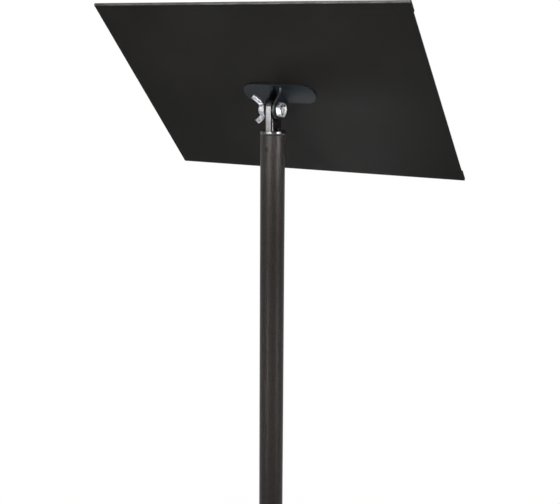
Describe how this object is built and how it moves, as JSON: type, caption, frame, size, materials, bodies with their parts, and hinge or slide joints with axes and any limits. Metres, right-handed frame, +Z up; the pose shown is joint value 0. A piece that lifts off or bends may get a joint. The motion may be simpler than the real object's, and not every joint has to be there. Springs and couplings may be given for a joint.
{
  "type": "music stand",
  "caption": "Orchestra music stand: hemmed sheet-steel desk on a wing-nut tilt hinge, telescopic tubular mast with a knob clamp, and a splayed-leg base with rubber feet.",
  "frame": {"origin": "on the floor, on the axis of the mast", "axes": "+Z up along the mast, the tilt axis along X, the player on the -Y side"},
  "size_m": [0.5516, 0.482, 1.3517],
  "materials": {
    "desk_paint": "satin brown-black powder coat",
    "bracket_paint": "satin blue-grey coat",
    "zinc": "bright zinc plating",
    "fibre": "pressed fibre",
    "gloss_black": "gloss black finish",
    "bare_steel": "turned steel",
    "mast_paint": "fine-textured matt brown-black powder coat",
    "nylon": "moulded nylon",
    "collar_paint": "die-cast and painted black",
    "brass": "turned brass",
    "knob_plastic": "fine-grained moulding",
    "cast_paint": "cast and painted black",
    "leg_paint": "fine-textured matt brown-black powder coat",
    "foot_rubber": "matt moulded rubber"
  },
  "bodies": {
    "base": {"base_hub": "cast_paint", "leg_1": "leg_paint", "leg_2": "leg_paint", "leg_3": "leg_paint", "foot_1": "foot_rubber", "foot_2": "foot_rubber", "foot_3": "foot_rubber", "leg_bolts": "zinc", "leg_nuts": "zinc", "anchor_bolt": "zinc", "anchor_washer": "zinc", "tube_anchor": "bare_steel", "lower_tube": "mast_paint", "clamp_collar": "collar_paint", "collar_bush": "nylon", "collar_screws": "bare_steel"},
    "guide": {"guide_bush": "nylon"},
    "mast": {"upper_tube": "mast_paint", "tube_end_plug": "nylon", "guide_clip": "bare_steel", "post_plug": "gloss_black", "plug_pin": "bare_steel"},
    "desk": {"desk_panel": "desk_paint", "desk_ledge": "desk_paint", "tilt_bracket": "bracket_paint", "tilt_bolt": "zinc", "head_washer": "zinc", "friction_washers": "fibre"},
    "nut_washer": {"nut_washer": "zinc"},
    "wing_nut": {"wing_nut": "zinc"},
    "brake_shoe": {"brake_shoe": "brass"},
    "knob": {"clamp_stud": "zinc", "clamp_knob": "knob_plastic"}
  },
  "joints": [
    {"name": "mast_slide", "type": "slide", "parent": "base", "child": "guide", "axis": [0, 0, 1], "range_m": [-0.385, 0.05]},
    {"name": "mast_turn", "type": "hinge", "parent": "guide", "child": "mast", "pos_m": [0, 0, 0.5], "axis": [0, 0, 1], "continuous": true},
    {"name": "desk_tilt", "type": "hinge", "parent": "mast", "child": "desk", "pos_m": [0, 0, 1.22], "axis": [1, 0, 0], "range_deg": [-46.7, 43.3]},
    {"name": "nut_washer_slide", "type": "slide", "parent": "desk", "child": "nut_washer", "axis": [1, 0, 0], "range_m": [0, 0.003]},
    {"name": "wing_nut_turn", "type": "hinge", "parent": "nut_washer", "child": "wing_nut", "pos_m": [0, 0, 1.22], "axis": [1, 0, 0], "range_deg": [0, 720]},
    {"name": "brake_shoe_slide", "type": "slide", "parent": "base", "child": "brake_shoe", "axis": [1, 0, 0], "range_m": [0, 0.0025]},
    {"name": "clamp_knob_turn", "type": "hinge", "parent": "brake_shoe", "child": "knob", "pos_m": [0.05, 0, 0.632], "axis": [1, 0, 0], "range_deg": [0, 720]}
  ],
  "couplings": [
    {"joint": "wing_nut_turn", "follows": "nut_washer_slide", "rad_per_m": 4188.8},
    {"joint": "clamp_knob_turn", "follows": "brake_shoe_slide", "rad_per_m": 5026.5}
  ]
}
